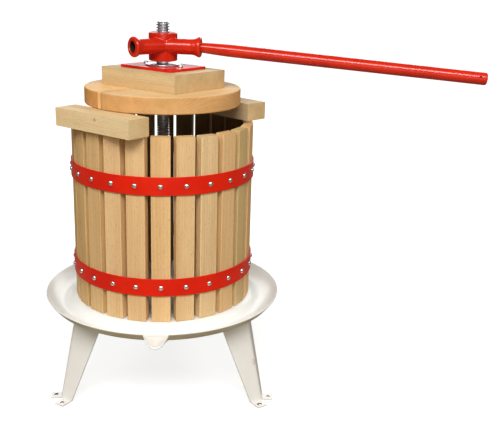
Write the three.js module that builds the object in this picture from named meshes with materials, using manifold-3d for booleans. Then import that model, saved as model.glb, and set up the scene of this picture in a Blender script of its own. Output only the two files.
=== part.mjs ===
// Basket wine press: a slatted tub on a spouted tray with three legs, a central screw,
// a red nut with two lever sockets, a lever bar, and the wooden pressing set stacked on top.
// Millimetres, +Z up, spout towards -Y. The parts are laid out round the screw axis, and the
// whole press is then moved so that the origin is the middle of the bottom of its box.
import * as THREE from 'three';
import { mergeVertices } from 'three/addons/utils/BufferGeometryUtils.js';
import Module from 'manifold-3d';

const wasm = await Module();
wasm.setup();

// ---- driving dimensions ----
const GAP = 0.3;                 // clearance left between pieces that touch
const RIM_Z = 160;               // tray rim above the floor
const SHEET = 2;                 // pressed steel of tray and legs

const SLATS = 24;
const SLAT = { width: 28.2, thick: 15, length: 280, face: 140.2, ease: 1.2 };
const BASKET_YAW = 1.9;          // the tub stands on the tray turned by hand a little
const BAND = { inner: 141.3, thick: 1.8, height: 27, centres: [54, 208] };
const RIVET = { radius: 3.7, proud: 2.9 };

const TRAY = { rim: 189, rise: 1.2, platform: 148, moatIn: 156, moatOut: 171, depth: 14, platformDrop: 2 };
const SPOUT = { root: 21, neck: 11.5, tip: 8.5, reach: 206, wall: 10 };

const LEG = { half: 64, footWidth: 21.5 };
const LEGS = [                   // fold line's radius at the top and on the floor, and the flanges' width at the top
  { name: 'leg_front_left', azimuth: -60, topRadius: 153, footRadius: 181.5, topWidth: 55 },
  { name: 'leg_front_right', azimuth: 60, topRadius: 156.5, footRadius: 187.7, topWidth: 51 },
  { name: 'leg_back', azimuth: 180, topRadius: 154, footRadius: 185, topWidth: 54 },
];
const FOOT_TAB = { start: 2, width: 17, reach: 17.5, hole: 3 };
const TOP_TAB = { reach: 13, inset: 7 };

const SCREW = { radius: 10, top: 427.4, bottom: -34, bore: 0.4 };
const HEX = { flat: 30, height: 16 };
const BASE_WASHER = { radius: 30, thick: 3 };

const STACK_YAW = -40;           // beams, block and plate all lie along this direction
const TIMBER = 26.9;             // thickness of beams and block
const BEAM = { length: 152, width: 38.6 };
const BEAM_LEFT = { along: 2.5, across: -130.6, twist: 0 };
const BEAM_RIGHT = { along: 27.7, across: 113.8, twist: -7 };
const DISC = { radius: 119.5, thick: 25.2, screwHole: 12, seamAzimuth: -45.5 };
const BLOCK = { length: 152, width: 112 };
const PLATE = { length: 104, width: 80, thick: 4, boltSpan: 36 };
const PLATE_WASHER = { radius: 27, thick: 2.2 };
const BOLT = { head: 4, headHeight: 3.6, shank: 2.6, length: 22 };

const HUB = { radius: 22, bottom: 369.6, top: 411.8, armZ: 392.4, offset: 12, reach: 56 };
const ARM = { radius: 11.6, bead: 15.5, bore: 8.2, mouth: 9.3, blindAt: 24.5 };
const ARM_LEFT_YAW = 216;        // direction of the empty socket
const ARM_RIGHT_YAW = -8;        // direction of the socket that holds the lever
const THRUST_RING = { radius: 12.6, thick: 1.2 };

const LEVER = { radius: 9.2, length: 451, inserted: 27, droop: 4, sag: 0.5, tipRadius: 6.3, mouthRadius: 7.4 };
const LEVER_TAPER = 44;          // length of the forged taper outside the socket

// ---- helpers ----
const UP = new THREE.Vector3(0, 0, 1);
const radians = THREE.MathUtils.degToRad;

function solid(geometry) {
  const bare = geometry.clone();
  bare.deleteAttribute('normal');
  bare.deleteAttribute('uv');
  const merged = mergeVertices(bare, 1e-4);
  return new wasm.Manifold(new wasm.Mesh({
    numProp: 3,
    vertProperties: new Float32Array(merged.attributes.position.array),
    triVerts: new Uint32Array(merged.index.array),
  }));
}

function geometryOf(manifold) {
  const mesh = manifold.getMesh();
  const geometry = new THREE.BufferGeometry();
  geometry.setAttribute('position', new THREE.BufferAttribute(new Float32Array(mesh.vertProperties), 3));
  geometry.setIndex(new THREE.BufferAttribute(new Uint32Array(mesh.triVerts), 1));
  geometry.computeVertexNormals();
  return geometry;
}

function cut(geometry, ...tools) {
  return geometryOf(tools.reduce((body, tool) => body.subtract(solid(tool)), solid(geometry)));
}

function join(first, ...others) {
  return geometryOf(others.reduce((body, other) => body.add(solid(other)), solid(first)));
}

// Turned about Z: profile points are [radius, height].
function turned(profile, segments) {
  const points = profile.map(([r, z]) => new THREE.Vector2(r, z));
  return new THREE.LatheGeometry(points, segments).rotateX(Math.PI / 2);
}

function ring(inner, outer, z0, z1, segments) {
  return turned([[inner, z0], [outer, z0], [outer, z1], [inner, z1], [inner, z0]], segments);
}

function rod(radius, z0, z1, segments) {
  return turned([[0, z0], [radius, z0], [radius, z1], [0, z1]], segments);
}

function extruded(shape, z0, z1, curveSegments = 6) {
  const options = { depth: z1 - z0, bevelEnabled: false, curveSegments };
  return new THREE.ExtrudeGeometry(shape, options).translate(0, 0, z0);
}

function easedRectangle(length, width, ease) {
  const x = length / 2;
  const y = width / 2;
  const shape = new THREE.Shape();
  shape.moveTo(-x + ease, -y);
  shape.lineTo(x - ease, -y);
  shape.quadraticCurveTo(x, -y, x, -y + ease);
  shape.lineTo(x, y - ease);
  shape.quadraticCurveTo(x, y, x - ease, y);
  shape.lineTo(-x + ease, y);
  shape.quadraticCurveTo(-x, y, -x, y - ease);
  shape.lineTo(-x, -y + ease);
  shape.quadraticCurveTo(-x, -y, -x + ease, -y);
  return shape;
}

function hexagon(flat) {
  const corner = flat / 2 / Math.cos(Math.PI / 6);
  const shape = new THREE.Shape();
  for (let i = 0; i < 6; i += 1) {
    const angle = (i * Math.PI) / 3;
    shape.lineTo(corner * Math.cos(angle), corner * Math.sin(angle));
  }
  return shape;
}

// A flat sheet whose outline is given in the plane of axes u and v, and whose thickness goes along u x v.
function sheet(origin, u, v, outline, thickness) {
  const shape = new THREE.Shape(outline.map(([a, b]) => new THREE.Vector2(a, b)));
  const normal = new THREE.Vector3().crossVectors(u, v).normalize();
  const basis = new THREE.Matrix4().makeBasis(u, v, normal).setPosition(origin);
  return extruded(shape, 0, thickness).applyMatrix4(basis);
}

// ---- materials ----
const paint = (color, roughness) => new THREE.MeshStandardMaterial({ color, roughness, metalness: 0 });
const metal = (color, roughness) => new THREE.MeshStandardMaterial({ color, roughness, metalness: 1 });
const MATERIALS = {
  beech: paint(0xdcb586, 0.62),
  red: paint(0xd8200c, 0.22),
  enamel: paint(0xf1efe9, 0.28),
  zinc: metal(0xc6c8ca, 0.32),
};

const press = new THREE.Group();

function place(name, geometry, material, parent = press) {
  const mesh = new THREE.Mesh(geometry, MATERIALS[material]);
  mesh.name = name;
  parent.add(mesh);
  return mesh;
}

// ---- tray and legs ----
function trayProfile() {
  const top = RIM_Z - TRAY.platformDrop;
  const floor = RIM_Z - TRAY.depth;
  const rim = RIM_Z + TRAY.rise;
  const hole = SCREW.radius + SCREW.bore;
  return [
    [hole, top], [TRAY.platform - 1.5, top], [TRAY.platform, top - 1],
    [TRAY.moatIn - 4, floor + 4], [TRAY.moatIn - 1.5, floor + 1], [TRAY.moatIn + 1, floor],
    [TRAY.moatOut, floor], [TRAY.moatOut + 4, floor + 1.2], [TRAY.moatOut + 7, floor + 3.6],
    [TRAY.rim - 2, rim - 0.6], [TRAY.rim - 0.8, rim], [TRAY.rim, rim - 0.8], [TRAY.rim - 0.6, rim - 2.2],
    [TRAY.moatOut + 8, floor + 1.6], [TRAY.moatOut + 5, floor - 0.6], [TRAY.moatOut + 1, floor - SHEET],
    [TRAY.moatIn - 0.5, floor - SHEET], [TRAY.moatIn - 3, floor - 1], [TRAY.moatIn - 6, floor + 3],
    [TRAY.platform - 2, top - SHEET], [hole, top - SHEET], [hole, top],
  ];
}

function spoutOutline(inset) {
  const root = SPOUT.root - inset;
  const neck = SPOUT.neck - inset;
  const tip = SPOUT.tip - inset;
  const end = SPOUT.reach;
  const shape = new THREE.Shape();
  shape.moveTo(-root, -TRAY.moatOut + 3);
  shape.lineTo(-root, -TRAY.rim + 5);
  shape.quadraticCurveTo(-neck - 2, -TRAY.rim, -neck, -TRAY.rim - 5);
  shape.quadraticCurveTo(-tip, -end, 0, -end);
  shape.quadraticCurveTo(tip, -end, neck, -TRAY.rim - 5);
  shape.quadraticCurveTo(neck + 2, -TRAY.rim, root, -TRAY.rim + 5);
  shape.lineTo(root, -TRAY.moatOut + 3);
  shape.closePath();
  return shape;
}

function makeTray() {
  const lipTop = RIM_Z - TRAY.depth + 1.2;
  const dish = turned(trayProfile().reverse(), 72);
  const trough = extruded(spoutOutline(0), lipTop - SHEET, lipTop + SPOUT.wall);
  const channel = extruded(spoutOutline(SHEET), lipTop, RIM_Z + 5);
  const mouth = new THREE.BoxGeometry(60, 30, 20).translate(0, -SPOUT.reach - 6, lipTop + 10);
  place('juice_tray', cut(join(dish, trough), channel, mouth), 'enamel');
}

function legGeometry({ topRadius, footRadius, topWidth }) {
  const top = RIM_Z - TRAY.depth - SHEET - GAP;
  const apexTop = new THREE.Vector3(topRadius, 0, top);
  const apexFoot = new THREE.Vector3(footRadius, 0, 0);
  const down = new THREE.Vector3().subVectors(apexFoot, apexTop);
  const length = down.length();
  down.normalize();
  const pieces = [];
  for (const side of [1, -1]) {
    const across = new THREE.Vector3(-Math.cos(radians(LEG.half)), side * Math.sin(radians(LEG.half)), 0);
    const slope = new THREE.Vector3().copy(down).addScaledVector(across, -down.dot(across)).normalize();
    const skew = down.dot(across) * length;
    const reach = down.dot(slope) * length;
    const outline = [[0, 0], [topWidth, 0], [LEG.footWidth + skew, reach], [skew, reach]];
    const flange = side > 0
      ? sheet(apexTop, across, slope, outline, SHEET)
      : sheet(apexTop, slope, across, outline.map(([a, b]) => [b, a]), SHEET);
    pieces.push(flange);
    const outward = new THREE.Vector3(Math.sin(radians(LEG.half)), side * Math.cos(radians(LEG.half)), 0);
    const tab = (corner, width, tabReach, z, start) => {
      const from = new THREE.Vector3().copy(corner).addScaledVector(across, start).setZ(z);
      const box = [[0, -SHEET], [width, -SHEET], [width, tabReach], [0, tabReach]];
      return side > 0
        ? sheet(from, across, outward, box, SHEET).translate(0, 0, SHEET)
        : sheet(from, outward, across, box.map(([a, b]) => [b, a]), SHEET).translate(0, 0, SHEET);
    };
    const footTab = tab(apexFoot, FOOT_TAB.width, FOOT_TAB.reach, -SHEET, FOOT_TAB.start);
    footTab.computeBoundingBox();
    const lift = -footTab.boundingBox.min.z;
    const middle = new THREE.Vector3().copy(apexFoot)
      .addScaledVector(across, FOOT_TAB.start + FOOT_TAB.width / 2)
      .addScaledVector(outward, FOOT_TAB.reach * 0.6);
    const hole = rod(FOOT_TAB.hole, -5, 5, 10).translate(middle.x, middle.y, 0);
    pieces.push(cut(footTab.translate(0, 0, lift), hole));
    const topTab = tab(apexTop, topWidth - 2 * TOP_TAB.inset, TOP_TAB.reach, 0, TOP_TAB.inset);
    topTab.computeBoundingBox();
    pieces.push(topTab.translate(0, 0, top - topTab.boundingBox.max.z));
  }
  const floorTrim = new THREE.BoxGeometry(400, 400, 20).translate(0, 0, -10);
  const topTrim = new THREE.BoxGeometry(400, 400, 20).translate(0, 0, top + 10);
  return cut(join(...pieces), floorTrim, topTrim);
}

function makeLegs() {
  LEGS.forEach((leg) => {
    place(leg.name, legGeometry(leg), 'enamel').rotation.z = radians(leg.azimuth - 90);
  });
}

// ---- basket ----
function makeBasket() {
  const basket = new THREE.Group();
  basket.rotation.z = radians(BASKET_YAW);
  press.add(basket);
  const bottom = RIM_Z - TRAY.platformDrop + GAP;
  const shape = easedRectangle(SLAT.width, SLAT.thick, SLAT.ease);
  for (let i = 0; i < SLATS; i += 1) {
    const angle = (i * 360) / SLATS - 90;
    const geometry = extruded(shape, bottom, bottom + SLAT.length, 1)
      .translate(0, -SLAT.face + SLAT.thick / 2, 0)
      .rotateZ(radians(angle + 90));
    place(`slat_${String(i + 1).padStart(2, '0')}`, geometry, 'beech', basket);
  }
  ['lower_band', 'upper_band'].forEach((name, b) => {
    const z = RIM_Z + BAND.centres[b];
    const outer = BAND.inner + BAND.thick;
    let hoop = ring(BAND.inner, outer, z - BAND.height / 2, z + BAND.height / 2, 72);
    const r = RIVET.radius;
    const head = turned([[0, -0.9], [r, -0.9], [r, 0.5], [r * 0.72, RIVET.proud * 0.75], [0, RIVET.proud]], 8);
    const heads = [];
    for (let i = 0; i < SLATS; i += 1) {
      const angle = radians((i * 360) / SLATS - 90);
      heads.push(head.clone().rotateY(Math.PI / 2).translate(outer, 0, z).rotateZ(angle));
    }
    hoop = join(hoop, ...heads);
    place(name, hoop, 'red', basket);
  });
}

// ---- screw and its fixings ----
function makeScrew() {
  const { radius } = SCREW;
  const z0 = RIM_Z + SCREW.bottom;
  const z1 = RIM_Z + SCREW.top;
  const profile = [[0, z0], [radius - 1.5, z0], [radius, z0 + 1.5], [radius, z1 - 1.2], [radius - 1.2, z1], [0, z1]];
  place('press_screw', turned(profile, 24), 'zinc');
  const bore = rod(radius + SCREW.bore, 0, 900, 24);
  const nut = (name, z) => place(name, cut(extruded(hexagon(HEX.flat), z, z + HEX.height), bore), 'zinc');
  const platformTop = RIM_Z - TRAY.platformDrop;
  const washerTop = platformTop - SHEET - GAP;
  nut('screw_upper_nut', platformTop + GAP);
  const washerBottom = washerTop - BASE_WASHER.thick;
  const base = ring(radius + SCREW.bore, BASE_WASHER.radius, washerBottom, washerTop, 32);
  place('screw_base_washer', base, 'zinc');
  nut('screw_lower_nut', washerBottom - GAP - HEX.height);
}

// ---- wooden pressing set, stacked on the basket ----
function makeStack() {
  const stack = new THREE.Group();
  stack.rotation.z = radians(STACK_YAW);
  press.add(stack);
  const slatTop = RIM_Z - TRAY.platformDrop + GAP + SLAT.length;
  const beamZ = slatTop + GAP;
  const beam = ({ along: x, across: y, twist }) => (
    extruded(easedRectangle(BEAM.length, BEAM.width, 1.5), beamZ, beamZ + TIMBER, 1)
      .rotateZ(radians(twist)).translate(x, y, 0));
  place('beam_left', beam(BEAM_LEFT), 'beech', stack);
  place('beam_right', beam(BEAM_RIGHT), 'beech', stack);

  const discZ = beamZ + TIMBER + GAP;
  const half = new THREE.Shape();
  const seam = GAP / 2;
  const lean = Math.asin(seam / DISC.radius);
  const notch = Math.asin(seam / DISC.screwHole);
  half.absarc(0, 0, DISC.radius, lean, Math.PI - lean, false);
  half.absarc(0, 0, DISC.screwHole, Math.PI - notch, notch, true);
  half.closePath();
  const board = extruded(half, discZ, discZ + DISC.thick, 20);
  const seamYaw = radians(DISC.seamAzimuth - 90);
  place('pressing_disc_front', board.clone().rotateZ(seamYaw), 'beech');
  place('pressing_disc_back', board.clone().rotateZ(seamYaw + Math.PI), 'beech');

  const blockZ = discZ + DISC.thick + GAP;
  const blockTop = blockZ + TIMBER;
  const throat = rod(DISC.screwHole, blockZ - 10, blockTop + 10, 24);
  const pilots = [-1, 1].map((s) => (
    rod(BOLT.shank + GAP, blockTop - BOLT.length, blockTop + 20, 10).translate(s * PLATE.boltSpan, 0, 0)));
  const block = extruded(easedRectangle(BLOCK.length, BLOCK.width, 2), blockZ, blockTop, 1);
  place('pressing_block', cut(block, throat, ...pilots), 'beech', stack);

  const plateZ = blockTop + GAP;
  const plateTop = plateZ + PLATE.thick;
  const plate = extruded(easedRectangle(PLATE.length, PLATE.width, 1), plateZ, plateTop, 1);
  const plateBore = rod(SCREW.radius + 1, plateZ - 5, plateTop + 5, 24);
  place('pressure_plate', cut(plate, plateBore, ...pilots), 'red', stack);
  const shankEnd = plateTop - BOLT.length + 4;
  const headZ = plateTop + GAP;
  const bolt = turned([
    [0, shankEnd], [BOLT.shank, shankEnd + 2], [BOLT.shank, headZ], [BOLT.head, headZ],
    [BOLT.head * 0.94, headZ + BOLT.headHeight * 0.45], [BOLT.head * 0.62, headZ + BOLT.headHeight * 0.87],
    [0, headZ + BOLT.headHeight],
  ], 12);
  place('plate_bolt_left', bolt.clone().translate(-PLATE.boltSpan, 0, 0), 'zinc', stack);
  place('plate_bolt_right', bolt.clone().translate(PLATE.boltSpan, 0, 0), 'zinc', stack);
  const washerZ = plateTop + GAP;
  const washer = ring(SCREW.radius + 0.8, PLATE_WASHER.radius, washerZ, washerZ + PLATE_WASHER.thick, 40);
  place('plate_washer', washer, 'zinc', stack);
}

// ---- nut with its two lever sockets ----
const armDirection = (yaw) => new THREE.Vector3(Math.cos(radians(yaw)), Math.sin(radians(yaw)), 0);

function armRoot() {
  const bisector = armDirection(ARM_LEFT_YAW).add(armDirection(ARM_RIGHT_YAW)).normalize();
  return bisector.multiplyScalar(HUB.offset).setZ(RIM_Z + HUB.armZ);
}

function along(geometry, direction, origin) {
  const turn = new THREE.Quaternion().setFromUnitVectors(UP, direction);
  return geometry.applyQuaternion(turn).translate(origin.x, origin.y, origin.z);
}

function makeHub() {
  const z0 = RIM_Z + HUB.bottom;
  const z1 = RIM_Z + HUB.top;
  const boss = turned([[0, z0], [HUB.radius - 1.5, z0], [HUB.radius, z0 + 1.5],
    [HUB.radius, z1 - 1.2], [HUB.radius - 1.2, z1], [0, z1]], 32);
  const { reach } = HUB;
  const arm = turned([[0, -3], [ARM.radius, -3], [ARM.radius, reach - 13], [ARM.radius + 1.2, reach - 8.5],
    [ARM.bead - 1, reach - 5.5], [ARM.bead, reach - 3.6], [ARM.bead - 0.3, reach - 1.4],
    [ARM.bead - 1.6, reach], [0, reach]], 24);
  const socket = turned([[0, ARM.blindAt], [ARM.bore, ARM.blindAt], [ARM.bore, reach - 1.2],
    [ARM.mouth, reach], [ARM.mouth, reach + 2], [0, reach + 2]], 24);
  const root = armRoot();
  const directions = [ARM_LEFT_YAW, ARM_RIGHT_YAW].map(armDirection);
  const arms = directions.map((d) => along(arm.clone(), d, root));
  const sockets = directions.map((d) => along(socket.clone(), d, root));
  const bore = rod(SCREW.radius + SCREW.bore, z0 - 5, z1 + 5, 24);
  place('nut_hub', cut(join(boss, ...arms), ...sockets, bore), 'red');
  const ringTop = z0 - GAP;
  const thrust = ring(SCREW.radius + 0.6, THRUST_RING.radius, ringTop - THRUST_RING.thick, ringTop, 28);
  place('thrust_ring', thrust, 'zinc');
}

function makeLever() {
  const droop = radians(LEVER.droop);
  const flat = armDirection(ARM_RIGHT_YAW);
  const direction = flat.clone().multiplyScalar(Math.cos(droop)).setZ(-Math.sin(droop));
  const mouth = armRoot().addScaledVector(flat, HUB.reach);
  mouth.z -= LEVER.sag;
  const start = -LEVER.inserted;
  const end = LEVER.length - LEVER.inserted;
  const bar = turned([[0, start], [LEVER.tipRadius - 0.8, start], [LEVER.tipRadius, start + 1],
    [LEVER.mouthRadius, 0], [LEVER.radius - 0.5, LEVER_TAPER * 0.6], [LEVER.radius, LEVER_TAPER],
    [LEVER.radius, end - 2], [LEVER.radius - 2, end], [0, end]], 20);
  place('lever_bar', along(bar, direction, mouth), 'red');
}

makeTray();
makeLegs();
makeBasket();
makeScrew();
makeStack();
makeHub();
makeLever();

// Origin: the middle of the bottom of the press's box.
const box = new THREE.Box3().setFromObject(press, true);
press.position.set(-(box.min.x + box.max.x) / 2, -(box.min.y + box.max.y) / 2, -box.min.z);

const root = new THREE.Group();
root.add(press);

export default root;
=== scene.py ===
"""Basket wine press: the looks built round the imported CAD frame.

Shapes are laid out in millimetres round the screw axis, as the CAD part is, and moved into the
row frame (metres) when a piece is made.
"""
import math
import random

import bmesh
import bpy
from mathutils import Matrix, Vector


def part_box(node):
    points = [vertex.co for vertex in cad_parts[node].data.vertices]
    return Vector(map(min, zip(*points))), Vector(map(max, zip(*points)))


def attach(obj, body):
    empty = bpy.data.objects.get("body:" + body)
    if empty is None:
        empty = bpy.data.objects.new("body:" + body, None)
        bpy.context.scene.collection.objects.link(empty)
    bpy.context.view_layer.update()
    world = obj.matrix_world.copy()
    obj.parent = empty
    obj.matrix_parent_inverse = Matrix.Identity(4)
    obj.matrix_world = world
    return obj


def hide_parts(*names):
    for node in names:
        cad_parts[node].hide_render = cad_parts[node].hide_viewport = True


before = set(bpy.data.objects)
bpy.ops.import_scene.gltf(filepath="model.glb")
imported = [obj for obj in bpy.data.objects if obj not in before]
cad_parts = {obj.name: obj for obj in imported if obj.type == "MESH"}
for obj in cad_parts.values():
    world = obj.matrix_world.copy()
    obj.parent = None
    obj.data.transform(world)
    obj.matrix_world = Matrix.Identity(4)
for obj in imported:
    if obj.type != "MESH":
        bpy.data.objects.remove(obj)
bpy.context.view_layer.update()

MM = 0.001

# ---------- frame
screw_lo, screw_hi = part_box("press_screw")
AXIS = (screw_lo + screw_hi) / 2
TO_ROW = Matrix.Translation((AXIS.x, AXIS.y, 0)) @ Matrix.Scale(MM, 4)


def heights(node):
    """Bottom and top of a CAD node in millimetres above the floor."""
    lo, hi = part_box(node)
    return lo.z / MM, hi.z / MM


def turn(degrees):
    return Matrix.Rotation(math.radians(degrees), 4, "Z")


def move(x, y, z):
    return Matrix.Translation((x, y, z))


LAY_ALONG_X = Matrix.Rotation(math.pi / 2, 4, "Y")    # lays a body that stands on Z along X


# ---------- mesh helpers
CORNER_SHARE = 0.45              # the most of a side that the curve at one corner takes up
BORE_CHAMFER = 0.8
CLEAR = 5.0                      # a cutter reaches this far past both ends of what it cuts
SHARP = 50                       # degrees from which an edge counts as sharp


def eased(points, reach, steps=4, closed=False):
    """The polyline with each corner replaced by a curve that starts `reach` before it."""
    result = []
    count = len(points)
    for i, p in enumerate(points):
        inner = closed or 0 < i < count - 1
        if not inner:
            result.append(p)
            continue
        a = Vector(points[i - 1])
        b = Vector(p)
        c = Vector(points[(i + 1) % count])
        start = b + (a - b).normalized() * min(reach, (a - b).length * CORNER_SHARE)
        end = b + (c - b).normalized() * min(reach, (c - b).length * CORNER_SHARE)
        for k in range(steps + 1):
            t = k / steps
            q = start * (1 - t) ** 2 + b * 2 * t * (1 - t) + end * t * t
            result.append(tuple(q))
    return result


def lathe(profile, segments, closed=False):
    """A body turned about Z from (radius, height) points; a point on the axis becomes a pole."""
    bm = bmesh.new()
    rings = []
    for r, z in profile:
        if r < 1e-6:
            rings.append([bm.verts.new((0, 0, z))])
            continue
        ring = []
        for k in range(segments):
            a = 2 * math.pi * k / segments
            ring.append(bm.verts.new((r * math.cos(a), r * math.sin(a), z)))
        rings.append(ring)
    pairs = list(zip(rings, rings[1:]))
    if closed:
        pairs.append((rings[-1], rings[0]))
    for lower, upper in pairs:
        for k in range(segments):
            n = (k + 1) % segments
            corners = [lower[k % len(lower)], lower[n % len(lower)],
                       upper[n % len(upper)], upper[k % len(upper)]]
            unique = list(dict.fromkeys(corners))
            if len(unique) > 2:
                bm.faces.new(unique)
    bmesh.ops.recalc_face_normals(bm, faces=bm.faces)
    return bm


def rod(radius, z0, z1, segments):
    return lathe([(0, z0), (radius, z0), (radius, z1), (0, z1)], segments)


def bore_tool(radius, z0, z1, over, segments):
    """A cutter for a bore with chamfered ends, which reaches `over` past both of them."""
    flare = radius + (over + BORE_CHAMFER)
    return lathe([(0, z0 - over), (flare, z0 - over), (radius, z0 + BORE_CHAMFER),
                  (radius, z1 - BORE_CHAMFER), (flare, z1 + over), (0, z1 + over)], segments)


def prism(outline, z0, z1):
    """An upright prism over a closed outline."""
    bm = bmesh.new()
    count = len(outline)
    low = [bm.verts.new((x, y, z0)) for x, y in outline]
    high = [bm.verts.new((x, y, z1)) for x, y in outline]
    bm.faces.new(low[::-1])
    bm.faces.new(high)
    for k in range(count):
        n = (k + 1) % count
        bm.faces.new((low[k], low[n], high[n], high[k]))
    return bm


def loft(rings):
    """A closed body through rings of the same number of points, capped at both ends."""
    bm = bmesh.new()
    levels = [[bm.verts.new(p) for p in ring] for ring in rings]
    count = len(levels[0])
    bm.faces.new(levels[0][::-1])
    bm.faces.new(levels[-1])
    for low, high in zip(levels, levels[1:]):
        for k in range(count):
            n = (k + 1) % count
            bm.faces.new((low[k], low[n], high[n], high[k]))
    return bm


def bevel(bm, chosen, width, steps=3):
    bmesh.ops.bevel(bm, geom=[e for e in bm.edges if chosen(e)], offset=width, segments=steps,
                    profile=0.5, affect="EDGES", clamp_overlap=True)


def sharp(edge):
    return len(edge.link_faces) == 2 and edge.calc_face_angle(0) > math.radians(SHARP)


def is_upright(edge):
    a, b = edge.verts
    return abs(a.co.z - b.co.z) > 0.5 * (a.co - b.co).length


def rectangle(length, width):
    x, y = length / 2, width / 2
    return [(-x, -y), (x, -y), (x, y), (-x, y)]


def bare_object(bm):
    """A scratch object; bm is used up."""
    mesh = bpy.data.meshes.new("tool")
    bm.to_mesh(mesh)
    bm.free()
    obj = bpy.data.objects.new("tool", mesh)
    bpy.context.scene.collection.objects.link(obj)
    return obj


def settle(obj):
    """Applies the modifiers of a scratch object."""
    bpy.context.view_layer.update()
    graph = bpy.context.evaluated_depsgraph_get()
    mesh = bpy.data.meshes.new_from_object(obj.evaluated_get(graph))
    obj.modifiers.clear()
    obj.data = mesh


def reclaimed(obj):
    """The mesh of a scratch object, which is removed."""
    bm = bmesh.new()
    bm.from_mesh(obj.data)
    bpy.data.objects.remove(obj)
    return bm


def combined(bm, tools, operation):
    """bm with each tool added or cut away; the tools are used up."""
    obj = bare_object(bm)
    for tool_bm in tools:
        tool = bare_object(tool_bm)
        mod = obj.modifiers.new("bool", "BOOLEAN")
        mod.operation = operation
        mod.object = tool
        mod.solver = "EXACT"
        settle(obj)
        bpy.data.objects.remove(tool)
    return reclaimed(obj)


def moved(bm, matrix):
    bm.transform(matrix)
    return bm


def make(name, bm, material, place=None, body="press", replaces=(), grain=None, smooth=38,
         second=None):
    """A finished piece from a mesh in millimetres.

    `second` is another material and a test for the faces that get it.
    """
    if second:
        bm.normal_update()
        for face in bm.faces:
            face.material_index = int(second[1](face))
    local = [v.co.copy() for v in bm.verts]
    normals = []
    if grain:
        bm.normal_update()
        normals = [grain.end_share(f.normal) for f in bm.faces]
    bm.transform(TO_ROW @ (place or Matrix.Identity(4)))
    mesh = bpy.data.meshes.new(name)
    bm.to_mesh(mesh)
    bm.free()
    mesh.shade_smooth()
    mesh.set_sharp_from_angle(angle=math.radians(smooth))
    if grain:
        grain.write(mesh, local, normals)
    mesh.materials.append(material)
    if second:
        mesh.materials.append(second[0])
    obj = bpy.data.objects.new(name, mesh)
    bpy.context.scene.collection.objects.link(obj)
    weighted = obj.modifiers.new("normals", "WEIGHTED_NORMAL")
    weighted.keep_sharp = True
    weighted.weight = 80
    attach(obj, body)
    if replaces:
        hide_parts(*replaces)
    return obj


# ---------- material helpers
class Graph:
    """A material's node tree, with short ways to add the nodes used here."""

    def __init__(self, name):
        self.material = bpy.data.materials.new(name)
        self.material.use_nodes = True
        self.tree = self.material.node_tree
        self.tree.nodes.clear()
        self.shader = self.node("ShaderNodeBsdfPrincipled")
        out = self.node("ShaderNodeOutputMaterial")
        self.tree.links.new(self.shader.outputs[0], out.inputs["Surface"])

    def node(self, kind, **settings):
        node = self.tree.nodes.new(kind)
        for key, value in settings.items():
            setattr(node, key, value)
        return node

    def feed(self, socket, value):
        if isinstance(value, bpy.types.NodeSocket):
            self.tree.links.new(value, socket)
        elif value is not None:
            socket.default_value = value

    def attribute(self, name, output="Vector"):
        return self.node("ShaderNodeAttribute", attribute_name=name).outputs[output]

    def position(self):
        return self.node("ShaderNodeTexCoord").outputs["Object"]

    def math(self, operation, a, b=None, c=None, clamp=False):
        node = self.node("ShaderNodeMath", operation=operation, use_clamp=clamp)
        for socket, value in zip(node.inputs, (a, b, c)):
            self.feed(socket, value)
        return node.outputs[0]

    def vector(self, operation, a, b=None):
        node = self.node("ShaderNodeVectorMath", operation=operation)
        self.feed(node.inputs[0], a)
        if operation == "SCALE":
            self.feed(node.inputs["Scale"], b)
        else:
            self.feed(node.inputs[1], b)
        return node.outputs["Value" if operation == "LENGTH" else "Vector"]

    def noise(self, coords, scale, detail=2.0, rough=0.5, stretch=None, output="Fac"):
        if stretch:
            coords = self.vector("MULTIPLY", coords, stretch)
        node = self.node("ShaderNodeTexNoise")
        self.feed(node.inputs["Vector"], coords)
        self.feed(node.inputs["Scale"], scale)
        self.feed(node.inputs["Detail"], detail)
        self.feed(node.inputs["Roughness"], rough)
        return node.outputs[output]

    def remap(self, value, a, b, c=0.0, d=1.0, smooth=False):
        node = self.node("ShaderNodeMapRange", interpolation_type="SMOOTHSTEP" if smooth else "LINEAR")
        for socket, v in zip(node.inputs, (value, a, b, c, d)):
            self.feed(socket, v)
        return node.outputs[0]

    def mix(self, share, a, b, blend="MIX"):
        node = self.node("ShaderNodeMix", data_type="RGBA", blend_type=blend)
        self.feed(node.inputs["Factor"], share)
        self.feed(node.inputs[6], a)
        self.feed(node.inputs[7], b)
        return node.outputs[2]

    def bump(self, height, distance, strength):
        node = self.node("ShaderNodeBump")
        self.feed(node.inputs["Height"], height)
        self.feed(node.inputs["Distance"], distance)
        self.feed(node.inputs["Strength"], strength)
        return node.outputs[0]

    def finish(self, color=None, roughness=None, normal=None, **values):
        self.feed(self.shader.inputs["Base Color"], color)
        self.feed(self.shader.inputs["Roughness"], roughness)
        self.feed(self.shader.inputs["Normal"], normal)
        for key, value in values.items():
            self.shader.inputs[key.replace("_", " ")].default_value = value
        return self.material


# ---------- materials
RING = 0.0031                    # beech growth ring width, metres
WOOD_SCALES = {                  # how fine each pattern is across, through and along a board
    "sway": (9.0, 9.0, 2.4),
    "wander": (40.0, 40.0, 6.0),
    "streak": (95.0, 95.0, 1.6),
    "broad": (30.0, 30.0, 3.0),
    "fibre": (1100.0, 1100.0, 26.0),
    "fleck": (1500.0, 1500.0, 210.0),
}
FLECK_COLOR = (0.30, 0.155, 0.07, 1.0)
KNOT_HALO, KNOT_CORE = (0.42, 0.20, 0.075, 1.0), (0.10, 0.045, 0.018, 1.0)
RUST_STAIN = (0.66, 0.40, 0.25, 1.0)


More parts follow.
